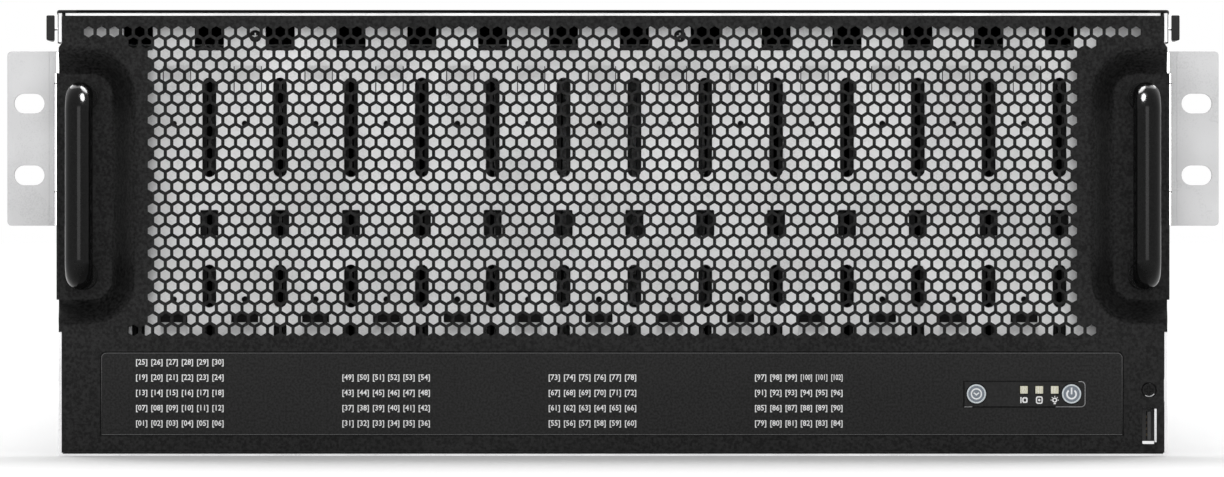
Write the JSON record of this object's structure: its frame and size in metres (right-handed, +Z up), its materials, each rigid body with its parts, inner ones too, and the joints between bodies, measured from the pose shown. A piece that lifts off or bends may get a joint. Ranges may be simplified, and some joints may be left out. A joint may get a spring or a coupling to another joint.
{
  "type": "rack server",
  "caption": "Rack server with a perforated front panel, recessed handles, rack ears, sliding cover, top-loaded disk bays, fans, and pull-out power and controller modules.",
  "frame": {"origin": "under the middle of the chassis floor, in the plane where the rack ears meet the posts", "axes": "+X right seen from the front, +Y from front to rear, +Z up"},
  "size_m": [0.4826, 1.0902, 0.1762],
  "materials": {
    "panel_black": "fine black powder coat",
    "cover_black": "fine black powder coat",
    "zinc_steel": "zinc-coated sheet steel",
    "handle_black": "smooth satin black paint",
    "overlay_film": "matt black printed film",
    "bezel_black": "smooth black moulding",
    "button_grey": "translucent grey caps",
    "light_clear": "clear light pipes",
    "board_green": "solder mask",
    "black_plastic": "moulded black plastic",
    "fan_plastic": "moulded black plastic",
    "port_steel": "bright plated shells",
    "disk_metal": "cast and machined disk bodies",
    "psu_metal": "plain metal cases",
    "sink_metal": "extruded aluminium",
    "screw_black": "black oxide",
    "screw_steel": "plated steel",
    "pin_brass": "plain brass",
    "catch_blue": "coloured touch point"
  },
  "bodies": {
    "chassis": {"bay_boards": "board_green", "board_rails": "zinc_steel", "cage_front_wall": "zinc_steel", "chassis_tub": "zinc_steel", "control_bezel": "bezel_black", "control_board": "board_green", "disks_zone_1": "disk_metal", "disks_zone_2": "disk_metal", "disks_zone_3": "disk_metal", "disks_zone_4": "disk_metal", "ear_screws": "screw_steel", "expander_hoods": "zinc_steel", "fan_frames": "fan_plastic", "front_panel": "panel_black", "handle_left": "handle_black", "handle_right": "handle_black", "handle_screws": "screw_steel", "light_pipes": "light_clear", "number_overlay": "overlay_film", "panel_screw": "screw_black", "psu_bay": "zinc_steel", "rack_ear_left": "zinc_steel", "rack_ear_right": "zinc_steel", "rear_frame": "zinc_steel", "row_walls": "zinc_steel", "service_port_board": "board_green", "service_port_shell": "port_steel", "service_port_tongue": "black_plastic", "tact_switches": "black_plastic"},
    "cover": {"top_cover": "cover_black"},
    "tab_left": {"cover_tab_left": "black_plastic"},
    "tab_right": {"cover_tab_right": "black_plastic"},
    "id_button_cap": {"id_button": "button_grey"},
    "power_button_cap": {"power_button": "button_grey"},
    "fan_1": {"fan_rotor_1": "fan_plastic"},
    "fan_2": {"fan_rotor_2": "fan_plastic"},
    "fan_3": {"fan_rotor_3": "fan_plastic"},
    "fan_4": {"fan_rotor_4": "fan_plastic"},
    "fan_5": {"fan_rotor_5": "fan_plastic"},
    "psu_1": {"psu_1_case": "psu_metal", "psu_1_pins": "pin_brass", "psu_1_pull": "black_plastic"},
    "psu_1_catch": {"psu_1_latch": "catch_blue"},
    "psu_2": {"psu_2_case": "psu_metal", "psu_2_pins": "pin_brass", "psu_2_pull": "black_plastic"},
    "psu_2_catch": {"psu_2_latch": "catch_blue"},
    "controller_left": {"controller_left_tray": "zinc_steel", "controller_left_card": "board_green", "controller_left_sink": "sink_metal", "controller_left_ports": "port_steel", "controller_left_pull": "black_plastic", "controller_left_screws": "screw_steel"},
    "controller_right": {"controller_right_tray": "zinc_steel", "controller_right_card": "board_green", "controller_right_sink": "sink_metal", "controller_right_ports": "port_steel", "controller_right_pull": "black_plastic", "controller_right_screws": "screw_steel"}
  },
  "joints": [
    {"name": "cover_slide", "type": "slide", "parent": "chassis", "child": "cover", "axis": [0, 1, 0], "range_m": [0, 0.018]},
    {"name": "tab_left_press", "type": "slide", "parent": "cover", "child": "tab_left", "axis": [1, 0, 0], "range_m": [0, 0.001], "stiffness_N_per_m": 900},
    {"name": "tab_right_press", "type": "slide", "parent": "cover", "child": "tab_right", "axis": [-1, 0, 0], "range_m": [0, 0.001], "stiffness_N_per_m": 900},
    {"name": "id_button_press", "type": "slide", "parent": "chassis", "child": "id_button_cap", "axis": [0, 1, 0], "range_m": [0, 0.0008], "stiffness_N_per_m": 1500},
    {"name": "power_button_press", "type": "slide", "parent": "chassis", "child": "power_button_cap", "axis": [0, 1, 0], "range_m": [0, 0.0008], "stiffness_N_per_m": 1500},
    {"name": "fan_1_spin", "type": "hinge", "parent": "chassis", "child": "fan_1", "pos_m": [-0.168, 0.9933, 0.129], "axis": [0, 1, 0], "continuous": true},
    {"name": "fan_2_spin", "type": "hinge", "parent": "chassis", "child": "fan_2", "pos_m": [-0.084, 0.9933, 0.129], "axis": [0, 1, 0], "continuous": true},
    {"name": "fan_3_spin", "type": "hinge", "parent": "chassis", "child": "fan_3", "pos_m": [0, 0.9933, 0.129], "axis": [0, 1, 0], "continuous": true},
    {"name": "fan_4_spin", "type": "hinge", "parent": "chassis", "child": "fan_4", "pos_m": [0.084, 0.9933, 0.129], "axis": [0, 1, 0], "continuous": true},
    {"name": "fan_5_spin", "type": "hinge", "parent": "chassis", "child": "fan_5", "pos_m": [0.168, 0.9933, 0.129], "axis": [0, 1, 0], "continuous": true},
    {"name": "psu_1_slide", "type": "slide", "parent": "chassis", "child": "psu_1", "axis": [0, 1, 0], "range_m": [0, 0.17]},
    {"name": "psu_1_catch_press", "type": "slide", "parent": "psu_1", "child": "psu_1_catch", "axis": [-1, 0, 0], "range_m": [0, 0.002], "stiffness_N_per_m": 900},
    {"name": "psu_2_slide", "type": "slide", "parent": "chassis", "child": "psu_2", "axis": [0, 1, 0], "range_m": [0, 0.17]},
    {"name": "psu_2_catch_press", "type": "slide", "parent": "psu_2", "child": "psu_2_catch", "axis": [-1, 0, 0], "range_m": [0, 0.002], "stiffness_N_per_m": 900},
    {"name": "controller_left_slide", "type": "slide", "parent": "chassis", "child": "controller_left", "axis": [0, 1, 0], "range_m": [0, 0.165]},
    {"name": "controller_right_slide", "type": "slide", "parent": "chassis", "child": "controller_right", "axis": [0, 1, 0], "range_m": [0, 0.165]}
  ]
}
